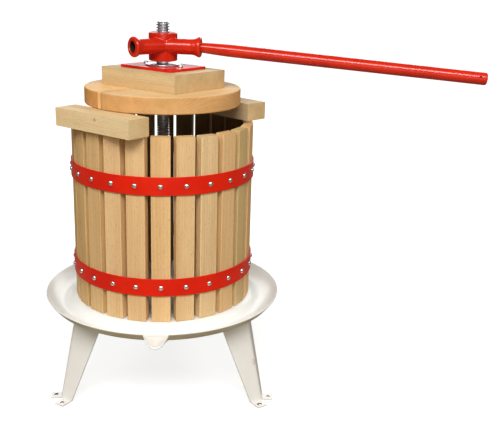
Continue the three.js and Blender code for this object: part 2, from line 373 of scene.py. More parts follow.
def wood(name, pale, deep, end_tone, ring_share):
    """Planed beech. The board attribute runs (across, through, along) from the tree's heart."""
    g = Graph(name)
    board = g.attribute("board")
    end = g.attribute("end", "Fac")
    tint = g.attribute("tint", "Color")
    sway = g.noise(board, 1.0, 1.0, 0.5, WOOD_SCALES["sway"], "Color")
    sway = g.vector("SCALE", g.vector("SUBTRACT", sway, (0.5, 0.5, 0.5)), 0.016)
    bent = g.vector("ADD", board, sway)
    from_heart = g.vector("LENGTH", g.vector("MULTIPLY", bent, (1.0, 1.0, 0.0)))
    wander = g.math("MULTIPLY", g.noise(board, 1.0, 2.0, 0.5, WOOD_SCALES["wander"]), 1.6)
    season = g.math("FRACT", g.math("ADD", g.math("DIVIDE", from_heart, RING), wander))
    late = g.remap(season, 0.35, 0.92, smooth=True)
    early = g.remap(season, 0.92, 1.0, 1.0, 0.0)
    ring = g.math("MULTIPLY", late, early)
    streak = g.noise(board, 1.0, 3.0, 0.55, WOOD_SCALES["streak"])
    broad = g.noise(board, 1.0, 2.0, 0.5, WOOD_SCALES["broad"])
    fibre = g.noise(board, 1.0, 3.0, 0.6, WOOD_SCALES["fibre"])
    fleck = g.noise(board, 1.0, 1.0, 0.5, WOOD_SCALES["fleck"])
    fleck = g.remap(fleck, 0.60, 0.72, smooth=True)
    depth = g.math("MULTIPLY", ring, g.math("MULTIPLY_ADD", end, 0.22, ring_share))
    depth = g.math("ADD", depth, g.remap(streak, 0.38, 0.78, 0.0, 0.42))
    depth = g.math("ADD", depth, g.remap(fibre, 0.3, 0.75, -0.14, 0.32))
    depth = g.math("ADD", depth, g.remap(broad, 0.35, 0.7, -0.18, 0.30), clamp=True)
    color = g.mix(depth, pale, deep)
    color = g.mix(g.math("MULTIPLY", fleck, 0.42), color, FLECK_COLOR)
    knot = g.vector("ADD", g.attribute("from_knot"), g.vector("SCALE", sway, 0.12))
    knot = g.vector("LENGTH", knot)
    halo = g.remap(knot, 0.0014, 0.0045, 1.0, 0.0, smooth=True)
    core = g.remap(knot, 0.0006, 0.0016, 1.0, 0.0, smooth=True)
    color = g.mix(g.math("MULTIPLY", halo, 0.35), color, KNOT_HALO)
    color = g.mix(g.math("MULTIPLY", core, 0.85), color, KNOT_CORE)
    # tint holds each board's own tone times its painted light and shade
    color = g.mix(1.0, color, tint, "MULTIPLY")
    color = g.mix(g.math("MULTIPLY", end, 0.75), color, g.mix(1.0, color, end_tone, "MULTIPLY"))
    relief = g.math("ADD", g.math("MULTIPLY", fibre, 0.6), g.math("MULTIPLY", ring, 0.35))
    relief = g.math("SUBTRACT", relief, g.math("MULTIPLY", fleck, 0.5))
    roughness = g.remap(streak, 0.3, 0.7, 0.52, 0.66)
    return g.finish(color, roughness, g.bump(relief, 0.00022, 0.55), Specular_IOR_Level=0.32)


def paint(name, color, shade, roughness, peel, speck, speck_color, speck_at=0.74, coat=0.2, chip=None):
    """Sprayed gloss paint: orange peel, faint unevenness, and a few specks of what is under it.

    `coat` is how much clear gloss lies on it, and `chip` is a place in the row frame where the
    paint has rubbed through to a rusty stain.
    """
    g = Graph(name)
    place = g.position()
    cloud = g.noise(place, 22.0, 3.0, 0.5)
    grit = g.noise(place, 520.0, 2.0, 0.6)
    skin = g.noise(place, 260.0, 2.0, 0.5)
    base = g.mix(g.remap(cloud, 0.35, 0.68, smooth=True), color, shade)
    spots = g.noise(place, 150.0, 3.0, 0.65)
    spots = g.remap(spots, speck_at, speck_at + 0.03)
    base = g.mix(g.math("MULTIPLY", spots, speck), base, speck_color)
    if chip:
        away = g.vector("SUBTRACT", place, chip)
        away = g.vector("LENGTH", g.vector("MULTIPLY", away, (1.0, 1.0, 0.45)))
        ragged = g.math("MULTIPLY_ADD", g.noise(place, 380.0, 3.0, 0.7), 0.009, away)
        worn = g.remap(ragged, 0.0058, 0.0085, 1.0, 0.0)
        base = g.mix(g.math("MULTIPLY", worn, 0.6), base, RUST_STAIN)
    gloss = g.remap(cloud, 0.3, 0.7, roughness * 0.9, roughness * 1.15)
    gloss = g.math("ADD", gloss, g.math("MULTIPLY", spots, 0.3))
    relief = g.math("SUBTRACT", g.math("MULTIPLY_ADD", grit, 0.18, skin), g.math("MULTIPLY", spots, 0.7))
    return g.finish(base, gloss, g.bump(relief, peel, 0.6), Specular_IOR_Level=0.2,
                    Coat_Weight=coat, Coat_Roughness=0.04)


def steel(name, color, shade, roughness, lines):
    """Zinc-plated steel: blotchy plating over fine turning marks."""
    g = Graph(name)
    place = g.position()
    cloud = g.noise(place, 75.0, 3.0, 0.55)
    marks = g.noise(place, 1.0, 2.0, 0.6, lines)
    grit = g.noise(place, 1400.0, 2.0, 0.6)
    share = g.math("MULTIPLY_ADD", marks, 0.35, g.math("MULTIPLY", cloud, 0.75), clamp=True)
    base = g.mix(g.remap(share, 0.3, 0.75, smooth=True), color, shade)
    gloss = g.remap(share, 0.3, 0.8, roughness * 0.8, roughness * 1.4)
    relief = g.math("MULTIPLY_ADD", grit, 0.4, marks)
    return g.finish(base, gloss, g.bump(relief, 0.00006, 0.5), Metallic=1.0)


SLAT_WOOD = wood("slat_beech", pale=(0.77, 0.49, 0.225, 1), deep=(0.58, 0.32, 0.125, 1),
                 end_tone=(0.86, 0.80, 0.72, 1), ring_share=0.24)
BOARD_WOOD = wood("board_beech", pale=(0.77, 0.51, 0.245, 1), deep=(0.58, 0.34, 0.135, 1),
                  end_tone=(0.90, 0.86, 0.80, 1), ring_share=0.20)
RED = paint("red_gloss", color=(0.68, 0.013, 0.001, 1), shade=(0.61, 0.009, 0.001, 1), roughness=0.30,
            peel=0.00008, speck=0.5, speck_color=(0.32, 0.008, 0.004, 1), coat=0.15)
# painted shade: a darker copy of the red, used on the hub and lever
CAST_RED_PAINTED_SHADE = paint("red_gloss_cast_painted_shade", color=(0.60, 0.018, 0.002, 1), shade=(0.50, 0.012, 0.001, 1),
                 roughness=0.30, peel=0.00012, speck=0.6, speck_color=(0.20, 0.005, 0.003, 1), coat=0.5)
LEG_PAINT = {
    "color": (0.84, 0.81, 0.755, 1), "shade": (0.82, 0.788, 0.728, 1), "roughness": 0.30,
    "peel": 0.00006, "speck": 0.3, "speck_color": (0.50, 0.42, 0.33, 1), "speck_at": 0.78,
}
WHITE = paint("white_gloss", **LEG_PAINT)
TRAY_WHITE = paint("white_gloss_tray", color=(0.84, 0.845, 0.80, 1), shade=(0.82, 0.825, 0.775, 1),
                   roughness=0.32, peel=0.00004, speck=0.25, speck_color=(0.55, 0.48, 0.40, 1),
                   speck_at=0.80)
# painted shade: a darker, warmer copy of the white for the tray's faces that turn down
UNDERSIDE_PAINTED_SHADE = paint("white_underside_painted_shade", color=(0.66, 0.58, 0.42, 1), shade=(0.60, 0.52, 0.36, 1),
                    roughness=0.5, peel=0.00006, speck=0.3, speck_color=(0.40, 0.32, 0.22, 1),
                    speck_at=0.76, coat=0.05)
CHIP = (AXIS.x + 0.1488, AXIS.y - 0.0882, 0.067)    # on the right front leg
WHITE_CHIPPED = paint("white_gloss_chipped", **LEG_PAINT, chip=CHIP)
# near black: bare metal in the bores and holes, darkened further as painted shade
BARE_IRON_AND_SHADE = paint("bare_iron_and_shade", color=(0.030, 0.017, 0.012, 1), shade=(0.018, 0.011, 0.009, 1),
                  roughness=0.6, peel=0.0001, speck=0.5, speck_color=(0.09, 0.04, 0.02, 1),
                  speck_at=0.68, coat=0.0)
ZINC = steel("zinc_plate", color=(0.82, 0.83, 0.85, 1), shade=(0.62, 0.635, 0.66, 1),
             roughness=0.30, lines=(260.0, 260.0, 2200.0))
RIVET_STEEL = steel("rivet_steel", color=(0.80, 0.81, 0.82, 1), shade=(0.64, 0.65, 0.66, 1),
                    roughness=0.20, lines=(700.0, 700.0, 700.0))


# ---------- wood grain of one board
NO_KNOT = (9000.0, 9000.0, 9000.0)    # far outside any board
EVEN = (1.0, 1.0, 1.0)


class Grain:
    """Where a board sat in its tree, and its own tone. `axes` gives across, through and along.

    `knot` is a point of the board in millimetres, `shade` gives a tone by place which paints light and
    shade, and `heart` is the direction of the tree's heart in degrees.
    """

    def __init__(self, rng, axes, warmth, spread, shade, distance=(50, 130), knot=NO_KNOT, heart=None):
        self.axes = [Vector(a) for a in axes]
        self.knot = Vector(knot)
        self.shade = shade
        angle = rng.uniform(0, 2 * math.pi) if heart is None else math.radians(heart)
        reach = rng.uniform(*distance)
        along = rng.uniform(-4000, 4000)
        self.offset = Vector((reach * math.cos(angle), reach * math.sin(angle), along))
        light = 1 + rng.uniform(-spread, spread * 0.6)
        warm = (warmth - 0.5) + rng.uniform(-0.5, 0.5)
        self.tint = (light * (1 + 0.035 * warm), light * (1 - 0.02 * warm), light * (1 - 0.11 * warm))

    def end_share(self, normal):
        return abs(normal.dot(self.axes[2])) ** 3

    def write(self, mesh, local, ends):
        board = mesh.attributes.new("board", "FLOAT_VECTOR", "POINT")
        from_knot = mesh.attributes.new("from_knot", "FLOAT_VECTOR", "POINT")
        places, distances, tones = [], [], []
        middle = (min(co.z for co in local) + max(co.z for co in local)) / 2
        for co in local:
            p = Vector([(co - Vector((0, 0, middle))).dot(a) for a in self.axes])
            places.extend((p + self.offset) * MM)
            distances.extend((co - self.knot) * MM)
            tones.extend((*(c * share for c, share in zip(self.tint, self.shade(co))), 1.0))
        board.data.foreach_set("vector", places)
        from_knot.data.foreach_set("vector", distances)
        end = mesh.attributes.new("end", "FLOAT", "FACE")
        end.data.foreach_set("value", ends)
        tint = mesh.attributes.new("tint", "FLOAT_COLOR", "POINT")
        tint.data.foreach_set("color", tones)


ALONG_Z = ((1, 0, 0), (0, 1, 0), (0, 0, 1))
ALONG_X = ((0, 1, 0), (0, 0, 1), (1, 0, 0))
ON_FACE, IN_FACE = 0.05, 0.2     # how near a face a point is counted as part of it

# ---------- basket
SLATS = 24
BASKET_YAW = 1.9                 # degrees the basket is turned round the screw
SLAT_FACE = 140.2                # from the screw's axis to a slat's outer face
SLAT_WIDTH, SLAT_THICK = 28.2, 15.0
SLAT_EDGE, INNER_EDGE, SLAT_END_EDGE = 1.1, 0.5, 0.7
INSIDE_PAINTED_SHADE = 0.36               # painted shade: the inner faces are darkened, as the basket looks almost black inside
SIDE_PAINTED_LIGHT = (1.30, 1.37, 1.37)   # painted light: the sides of the slats are made paler than their faces
FAR_SIDE_PAINTED_SHADE = (0.3, 0.3, 0.3)  # painted shade: but at the back they are darkened like the inside
EDGE_PAINTED_HIGHLIGHT = 1.12                 # painted highlight: rounded edges are a little paler
SLAT_TONES = {                   # tones given to the front slats, mostly darker towards the sides; the others' are random
    "slat_01": (1.0, 1.0, 0.97),
    "slat_02": (0.93, 0.95, 0.97),
    "slat_03": (0.93, 1.05, 1.22),
    "slat_04": (0.89, 0.90, 0.93),
    "slat_05": (0.80, 0.88, 0.84),
    "slat_20": (0.84, 0.88, 0.82),
    "slat_21": (0.84, 0.86, 0.79),
    "slat_22": (0.84, 0.88, 0.88),
    "slat_23": (0.97, 1.00, 1.05),
    "slat_24": (0.95, 0.97, 1.00),
}
NUDGED = {                       # sideways shift in mm and turn in degrees of slats out of line
    "slat_02": (-0.6, 2.0),
    "slat_12": (0.7, -2.0),
    "slat_14": (-1.0, -2.0),     # narrows the gap beside the screw; the slat itself is hardly seen
}


def slat_shade(tone, side):
    """Painted shade on the inner face, `side` on the sides (painted light at the front, painted shade at
    the back), and a painted highlight on the outer face's rounded edges.
    """
    def shade(co):
        if co.y > SLAT_THICK / 2 - IN_FACE:
            return [c * INSIDE_PAINTED_SHADE for c in tone]
        if co.y > 0:
            return [c * s for c, s in zip(tone, side)]
        outer = -SLAT_THICK / 2
        on_edge = outer + ON_FACE < co.y < outer + SLAT_EDGE - ON_FACE
        return [c * EDGE_PAINTED_HIGHLIGHT for c in tone] if on_edge else tone
    return shade


def make_slats():
    rng = random.Random(7)
    z0, z1 = heights("slat_01")
    for i in range(SLATS):
        node = f"slat_{i + 1:02d}"
        width = SLAT_WIDTH + rng.uniform(-0.3, 0.15)
        top = z1 - rng.uniform(0.0, 0.9)
        bm = prism(rectangle(width, SLAT_THICK), z0, top)
        bevel(bm, lambda e: is_upright(e) and e.verts[0].co.y < 0, SLAT_EDGE)
        bevel(bm, lambda e: is_upright(e) and e.verts[0].co.y > SLAT_THICK / 2 - 0.01, INNER_EDGE, 2)
        bevel(bm, lambda e: sharp(e) and not is_upright(e), SLAT_END_EDGE, 2)
        tone = SLAT_TONES.get(node, EVEN)
        spread = 0.01 if node in SLAT_TONES else 0.075
        side = FAR_SIDE_PAINTED_SHADE if SLATS / 4 <= i <= SLATS * 3 / 4 else SIDE_PAINTED_LIGHT
        grain = Grain(rng, ALONG_Z, 0.5, spread, slat_shade(tone, side))
        shift, twist = NUDGED.get(node, (0.0, rng.uniform(-0.8, 0.8)))
        around = turn(BASKET_YAW + i * 360 / SLATS)
        place = around @ move(shift, -SLAT_FACE + SLAT_THICK / 2, 0) @ turn(twist)
        make(f"board_{node}", bm, SLAT_WOOD, place, replaces=[node], grain=grain)


BAND_INNER, BAND_THICK = 141.3, 1.8
RIVET_RADIUS, RIVET_PROUD = 3.8, 2.9


def make_bands():
    face_out = Matrix.Rotation(math.pi / 2, 4, "X")
    for name in ("lower_band", "upper_band"):
        lo, hi = heights(name)
        outer = BAND_INNER + BAND_THICK
        section = eased([(BAND_INNER, lo), (outer, lo), (outer, hi), (BAND_INNER, hi)], 0.75, 3, True)
        hoop = lathe(section, 192, closed=True)
        make(f"hoop_{name}", hoop, RED, turn(BASKET_YAW), replaces=[name])
        rivets = bmesh.new()
        dome = [(0, RIVET_PROUD)]
        for k in range(1, 9):
            a = math.radians(k * 10.5)
            dome.append((RIVET_RADIUS * math.sin(a), 0.15 + (RIVET_PROUD - 0.15) * math.cos(a)))
        dome += [(RIVET_RADIUS, 0.35), (RIVET_RADIUS - 0.9, 0.1), (RIVET_RADIUS - 0.9, -0.5), (0, -0.5)]
        for i in range(SLATS):
            stand = turn(i * 360 / SLATS) @ move(0, -outer, (lo + hi) / 2) @ face_out
            head = moved(lathe(dome, 24), stand)
            scratch = bpy.data.meshes.new("rivet")
            head.to_mesh(scratch)
            head.free()
            rivets.from_mesh(scratch)
            bpy.data.meshes.remove(scratch)
        make(f"rivets_{name}", rivets, RIVET_STEEL, turn(BASKET_YAW))


# ---------- pressing boards
STACK_YAW = -40                  # degrees that beams, block and plate are turned round the screw
BEAM_LENGTH, BEAM_WIDTH = 152.0, 38.6
BEAMS = {                        # along and across the stack, twist, and a knot if there is one
    "beam_left": (2.5, -130.6, 0.0, (7.5, -19.3, 5.5)),
    "beam_right": (27.7, 113.8, -7.0, NO_KNOT),
}
BEAM_TONE = (1.0, 1.10, 1.20)
BOARD_ROUND = 2.8
DISC_RADIUS, DISC_HOLE, DISC_SEAM = 119.5, 12.0, -135.5
DISC_ROUND = 2.2
# painted light: the disc's top is made paler than its sides
DISC_TOP_PAINTED_LIGHT = (1.08, 1.11, 1.14)
DISC_HALVES = {                  # turn of each half, and the tone of its side, darker and more orange than the top: partly end grain, partly painted shade, most on the back half
    "pressing_disc_front": (0, (0.92, 0.78, 0.62)),
    "pressing_disc_back": (180, (0.86, 0.69, 0.48)),
}
SEAM_GAP = 0.15                  # half of the gap between the two boards
DISC_CORNER = 3.0                # rounding at the other end of each seam
SEAM_FLAT, SEAM_RELIEF = 2.8, 1.0    # degrees and depth of the flat planed beside the seam, which gets a painted highlight
# painted highlight on the flat beside the seam
SEAM_PAINTED_HIGHLIGHT = (1.12, 1.08, 1.05)
SEAM_PAINTED_SHADE = (0.38, 0.30, 0.24)   # painted shade in the rounded corner that meets the other board's flat
BLOCK_LENGTH, BLOCK_WIDTH = 152.0, 112.0
# painted light on the block's top and painted shade on its sides
BLOCK_TOP_PAINTED_LIGHT, BLOCK_SIDE_PAINTED_SHADE = (0.93, 1.05, 1.15), (0.91, 0.94, 0.95)


def disc_outline():
    """Half of the disc. It is rounded at one end of its seam and planed flat beside the other."""
    lean = math.asin(SEAM_GAP / DISC_RADIUS)
    notch = math.asin(SEAM_GAP / DISC_HOLE)
    outline = [(DISC_RADIUS - DISC_CORNER, SEAM_GAP),
               (DISC_RADIUS - DISC_CORNER * 0.35, SEAM_GAP + DISC_CORNER * 0.3)]
    start = DISC_CORNER / DISC_RADIUS + lean
    end = math.pi - math.radians(SEAM_FLAT)
    rim_steps, hole_steps = 96, 24
    for k in range(rim_steps + 1):
        a = start + (end - start) * k / rim_steps
        outline.append((DISC_RADIUS * math.cos(a), DISC_RADIUS * math.sin(a)))
    flat_start = end + 0.003
    inset = DISC_RADIUS - 0.1
    outline.append((inset * math.cos(flat_start), inset * math.sin(flat_start)))
    outline.append((-(DISC_RADIUS - SEAM_RELIEF), SEAM_GAP))
    for k in range(hole_steps + 1):
        a = math.pi - notch - (math.pi - 2 * notch) * k / hole_steps
        outline.append((DISC_HOLE * math.cos(a), DISC_HOLE * math.sin(a)))
    return outline


def disc_shade(top, side_tone):
    """A painted highlight on the flat beside the seam, painted shade in the corner at its other end,
    painted light on the top and the given side tone elsewhere.
    """
    flat_reach = DISC_RADIUS * math.sin(math.radians(SEAM_FLAT)) - IN_FACE

    def shade(co):
        if co.x < 0 and co.y < flat_reach and co.xy.length > DISC_RADIUS - 3:
            return SEAM_PAINTED_HIGHLIGHT
        if co.x > 0 and co.y < 1.2 and co.xy.length > DISC_RADIUS - 5:
            return SEAM_PAINTED_SHADE
        return DISC_TOP_PAINTED_LIGHT if co.z > top - IN_FACE else side_tone
    return shade


def board_shade(length, width, z0, z1, top_tone, side_tone):
    """One tone for the top face, another for the sides (painted light and shade on the block), and a paler
    one, a painted highlight, on the rounded edges.
    """
    def shade(co):
        if co.z > z1 - ON_FACE:
            return top_tone
        on_end = abs(co.x) > length / 2 - ON_FACE
        on_side = abs(co.y) > width / 2 - ON_FACE
        if on_end or on_side or co.z < z0 + ON_FACE:
            return side_tone
        return [c * EDGE_PAINTED_HIGHLIGHT for c in side_tone]
    return shade


def disc_half(z0, z1):
    """The half disc with its rim rounded over, and its seam edges just broken."""
    quarter = [(DISC_ROUND * (1 - math.sin(a)), DISC_ROUND * (1 - math.cos(a)))
               for a in (math.radians(d) for d in (0, 22.5, 45, 67.5, 90))]
    levels = [(z0 + up, inset) for inset, up in quarter]
    levels += [(z1 - up, inset) for inset, up in quarter[::-1]]
    rings = []
    for z, inset in levels:
        ring = []
        for x, y in disc_outline():
            r = math.hypot(x, y)
            share = 1 - inset / r if r > 40 else 1.0
            seam_lift = 0.25 * inset if y < 1.0 else 0.0
            ring.append((x * share, y * share + seam_lift, z))
        rings.append(ring)
    return loft(rings)


def make_boards():
    rng = random.Random(11)
    for name, (along, across, twist, knot) in BEAMS.items():
        z0, z1 = heights(name)
        bm = prism(rectangle(BEAM_LENGTH, BEAM_WIDTH), z0, z1)
        bevel(bm, lambda e: sharp(e), BOARD_ROUND, 4)
        shade = board_shade(BEAM_LENGTH, BEAM_WIDTH, z0, z1, BEAM_TONE, BEAM_TONE)
        knot_at = Vector(knot) + Vector((0, 0, (z0 + z1) / 2))
        grain = Grain(rng, ALONG_X, 0.1, 0.02, shade, (60, 80), knot_at, heart=-50)
        place = turn(STACK_YAW) @ move(along, across, 0) @ turn(twist)
        make(f"board_{name}", bm, BOARD_WOOD, place, replaces=[name], grain=grain)
    for name, (yaw, side_tone) in DISC_HALVES.items():
        z0, z1 = heights(name)
        bm = disc_half(z0, z1)
        grain = Grain(rng, ALONG_X, 0.9, 0.02, disc_shade(z1, side_tone), (25, 70))
        make(f"board_{name}", bm, BOARD_WOOD, turn(DISC_SEAM + yaw),
             replaces=[name], grain=grain)
    z0, z1 = heights("pressing_block")
    bm = prism(rectangle(BLOCK_LENGTH, BLOCK_WIDTH), z0, z1)
    bevel(bm, lambda e: sharp(e), BOARD_ROUND, 4)
    bm = combined(bm, [rod(DISC_HOLE, z0 - CLEAR, z1 + CLEAR, 48)], "DIFFERENCE")
    shade = board_shade(BLOCK_LENGTH, BLOCK_WIDTH, z0, z1, BLOCK_TOP_PAINTED_LIGHT, BLOCK_SIDE_PAINTED_SHADE)
    grain = Grain(rng, ALONG_X, 0.55, 0.02, shade, (30, 60), heart=-70)
    make("board_pressing_block", bm, BOARD_WOOD, turn(STACK_YAW),
         replaces=["pressing_block"], grain=grain)


# ---------- tray
TRAY_RIM, PLATFORM, MOAT_IN, MOAT_OUT = 189.0, 148.0, 156.0, 171.0
TRAY_RISE, PLATFORM_DROP = 1.2, 2.0    # together, how far the raised middle lies below the rim
SPOUT_REACH, SPOUT_DROP, SPOUT_HALF, SPOUT_SIDE = 206.0, 13.8, 18.7, -90.0
SCREW_HOLE = 10.4
SHEET = 2.0                      # thickness of the tray's and the legs' steel


def tray_section():
    """Closed (radius, height) section of the pressed sheet, from the screw hole out and back."""
    floor, rim = heights("juice_tray")
    floor += SHEET
    top = rim - TRAY_RISE - PLATFORM_DROP
    upper = [(SCREW_HOLE, top), (60, top), (110, top), (PLATFORM - 3, top), (MOAT_IN + 2, floor),
             (MOAT_OUT - 2, floor + 1.5), (MOAT_OUT + 9, floor + 7),
             (TRAY_RIM - 1.7, rim - 0.7), (TRAY_RIM - 0.9, rim)]
    lip = [(TRAY_RIM - 0.2, rim - 0.3), (TRAY_RIM, rim - 1.0), (TRAY_RIM - 0.4, rim - 1.9)]
    lower = [(TRAY_RIM - 1.4, rim - 3.4), (MOAT_OUT + 5.4, floor - SHEET), (MOAT_IN + 1, floor - SHEET),
             (PLATFORM - 5.4, top - SHEET), (110, top - SHEET), (60, top - SHEET),
             (SCREW_HOLE, top - SHEET)]
    return eased(upper, 8.0, 8) + lip + eased(lower, 8.0, 8)


def make_tray():
    """The section turned round the axis, in finer steps at the spout, where the rim is drawn out."""
    section = tray_section()
    step, fine_step, fine_half = 2.0, 0.25, 9.0    # degrees
    angles = []
    a = fine_half
    while a < 360 - fine_half - 1e-6:
        angles.append(a)
        a += step
    fine = int(2 * fine_half / fine_step)
    angles += [-fine_half + k * fine_step for k in range(fine)]
    bm = bmesh.new()
    slope = TRAY_RIM - MOAT_OUT
    rings = []
    for a in angles:
        s = min(abs(math.radians(a)) * TRAY_RIM, SPOUT_HALF) if abs(a) < 90 else SPOUT_HALF
        bell = 1 - (s / SPOUT_HALF) ** 2
        turned = math.radians(a + SPOUT_SIDE)
        ring = []
        for r, z in section:
            t = min(max((r - MOAT_OUT) / slope, 0.0), 1.0)
            out = r + (SPOUT_REACH - TRAY_RIM) * bell * t * t * (3 - 2 * t)
            down = z - SPOUT_DROP * bell * t
            ring.append(bm.verts.new((out * math.cos(turned), out * math.sin(turned), down)))
        rings.append(ring)
    count = len(section)
    for i, ring in enumerate(rings):
        following = rings[(i + 1) % len(rings)]
        for k in range(count):
            n = (k + 1) % count
            bm.faces.new((ring[k], following[k], following[n], ring[n]))
    bmesh.ops.recalc_face_normals(bm, faces=bm.faces)
    # faces turned down get the painted shade
    make("tray", bm, TRAY_WHITE, replaces=["juice_tray"], smooth=60,
         second=(UNDERSIDE_PAINTED_SHADE, lambda face: face.normal.z < -0.5))


# ---------- legs
LEG_HALF, LEG_FOOT_W = 64.0, 21.5    # degrees between a flange and the leg's middle, foot width
LEG_TAB, LEG_TOP_TAB = 17.5, 13.0
FOLD = 1.6                       # bend radius where a tab leaves its flange
TAB_FROM, TAB_TO = 0.11, 0.88    # the part of a flange's width that its tabs take up
TAB_COLUMNS = range(1, 6)        # the points across a flange that its tabs hang from
TAB_HOLE, TAB_HOLE_AT = 3.0, 10.5
LEGS = {                         # direction, fold line's radius at the top and on the floor, top width
    "leg_front_left": (-150, 153.0, 181.5, 55.0),
    "leg_front_right": (-30, 156.5, 187.7, 51.0),
    "leg_back": (90, 154.0, 185.0, 54.0),
}


def leg_directions(side):
    """Along a flange from the fold line, and out of its face."""
    half = math.radians(LEG_HALF)
    across = Vector((-math.cos(half), side * math.sin(half), 0))
    return across, Vector((math.sin(half), side * math.cos(half), 0))


def leg_row(apex, width):
    """Points across the folded sheet from one free edge round the fold to the other."""
    shares = (TAB_FROM, 0.3, 0.5, 0.69, TAB_TO, 1.0)
    arms = [[apex + leg_directions(side)[0] * width * share for share in shares] for side in (1, -1)]
    start, end = arms[0][0], arms[1][0]
    fold = []
    for u in (0.2, 0.4, 0.6, 0.8):
        fold.append(start * (1 - u) ** 2 + apex * 2 * u * (1 - u) + end * u * u)
    return arms[0][::-1] + fold + arms[1]


def leg_tab(bm, row, chosen, side, down, reach):
    """Bends the sheet outwards from some columns of an end row."""
    outward = leg_directions(side)[1]
    previous = [row[k] for k in chosen]
    base = [v.co.copy() for v in previous]
    bend = [math.pi / 8 * i for i in range(1, 5)]
    path = [(FOLD * math.sin(a), FOLD * (1 - math.cos(a))) for a in bend]
    path += [(FOLD, FOLD + (reach - FOLD) * i / 3) for i in (1, 2, 3)]
    for along, out in path:
        ring = [bm.verts.new(p + outward * out + Vector((0, 0, down * along))) for p in base]
        for k in range(len(ring) - 1):
            bm.faces.new((previous[k], ring[k], ring[k + 1], previous[k + 1]))
        previous = ring


def make_leg(name, azimuth, top_radius, foot_radius, top_width, material):
    """One folded V of sheet, whose ends are bent out into tabs under the tray and on the floor."""
    middle = SHEET / 2
    top = heights(name)[1] - middle - FOLD
    foot = middle + FOLD
    rows = 16
    bm = bmesh.new()
    grid = []
    for r in range(rows + 1):
        t = r / rows
        apex = Vector((top_radius + (foot_radius - top_radius) * t, 0, top + (foot - top) * t))
        grid.append([bm.verts.new(p) for p in leg_row(apex, top_width + (LEG_FOOT_W - top_width) * t)])
    for upper, lower in zip(grid, grid[1:]):
        for k in range(len(upper) - 1):
            bm.faces.new((upper[k], lower[k], lower[k + 1], upper[k + 1]))
    last = len(grid[0]) - 1
    for side, chosen in ((1, TAB_COLUMNS), (-1, [last - k for k in TAB_COLUMNS])):
        leg_tab(bm, grid[-1], chosen, side, -1, LEG_TAB)
        leg_tab(bm, grid[0], chosen, side, 1, LEG_TOP_TAB)
    bmesh.ops.recalc_face_normals(bm, faces=bm.faces)
    sheet = bare_object(bm)
    thick = sheet.modifiers.new("thickness", "SOLIDIFY")
    thick.thickness = SHEET
    thick.offset = 0.0
    thick.use_even_offset = True
    settle(sheet)
    holes = []
    for side in (1, -1):
        across, outward = leg_directions(side)
        holes.append(Vector((foot_radius, 0, 0)) + (across + outward) * TAB_HOLE_AT)
    drills = [moved(rod(TAB_HOLE, -4, 6, 24), move(*at)) for at in holes]
    bm = combined(reclaimed(sheet), drills, "DIFFERENCE")

    # the faces inside the tab holes, painted near black as shade
    def in_hole(face):
        centre = face.calc_center_median()
        reach = TAB_HOLE + ON_FACE
        return any((centre - at).xy.length < reach and centre.z < SHEET for at in holes)

    make(name + "_sheet", bm, material, turn(azimuth), replaces=[name], smooth=50,
         second=(BARE_IRON_AND_SHADE, in_hole))


def make_legs():
    for name, numbers in LEGS.items():
        material = WHITE_CHIPPED if name == "leg_front_right" else WHITE
        make_leg(name, *numbers, material)


# ---------- screw, nuts and washers
PITCH, STEPS_A_TURN = 4.0, 32
MAJOR, MINOR = 10.0, 7.75        # the thread's outer and root radius
NUT_BORE, NUT_FLAT, NUT_ROUND = 10.4, 15.0, 1.4
RINGS = {                        # inner radius, outer radius, rounding, and the body it rides on
    "screw_base_washer": (NUT_BORE, 30.0, 0.5, "press"),
    "plate_washer": (10.8, 27.0, 0.5, "press"),
    "thrust_ring": (10.6, 12.6, 0.25, "thrust"),
}


def make_screw():
    """A helix of the thread's profile, cut level at both ends and then chamfered."""
    z0, z1 = heights("press_screw")
    bm = bmesh.new()
    profile = [(MINOR, 0.0), (MINOR, 1.46), (MAJOR - 0.15, 1.96), (MAJOR, 2.1), (MAJOR, 3.3),
               (MAJOR - 0.15, 3.44)]
    width = len(profile)
    turns = int((z1 - z0) / PITCH) + 4
    total = turns * STEPS_A_TURN
    rows = []
    for k in range(total + STEPS_A_TURN):
        a = 2 * math.pi * k / STEPS_A_TURN
        lift = z0 - 2 * PITCH + PITCH * k / STEPS_A_TURN
        rows.append([bm.verts.new((r * math.cos(a), r * math.sin(a), lift + z)) for r, z in profile])
    for k in range(total - 1):
        for j in range(width - 1):
            bm.faces.new((rows[k][j], rows[k + 1][j], rows[k + 1][j + 1], rows[k][j + 1]))
        j = width - 1
        over, over_next = rows[k + STEPS_A_TURN][0], rows[k + 1 + STEPS_A_TURN][0]
        bm.faces.new((rows[k][j], rows[k + 1][j], over_next, over))
    for height, normal in ((z0, (0, 0, -1)), (z1, (0, 0, 1))):
        everything = bm.verts[:] + bm.edges[:] + bm.faces[:]
        cut = bmesh.ops.bisect_plane(bm, geom=everything, plane_co=(0, 0, height), plane_no=normal,
                                     clear_outer=True)
        rim = [e for e in cut["geom_cut"] if isinstance(e, bmesh.types.BMEdge)]
        bmesh.ops.contextual_create(bm, geom=rim)
    bmesh.ops.delete(bm, geom=[v for v in bm.verts if not v.link_faces], context="VERTS")
    bmesh.ops.recalc_face_normals(bm, faces=bm.faces)
    chamfer = lathe([(0, z0), (MAJOR - 1.6, z0), (MAJOR + 0.6, z0 + 2.2), (MAJOR + 0.6, z1 - 2.0),
                     (MAJOR - 1.4, z1), (0, z1)], 64)
    bm = combined(bm, [chamfer], "INTERSECT")
    make("threaded_screw", bm, ZINC, replaces=["press_screw"], smooth=30)


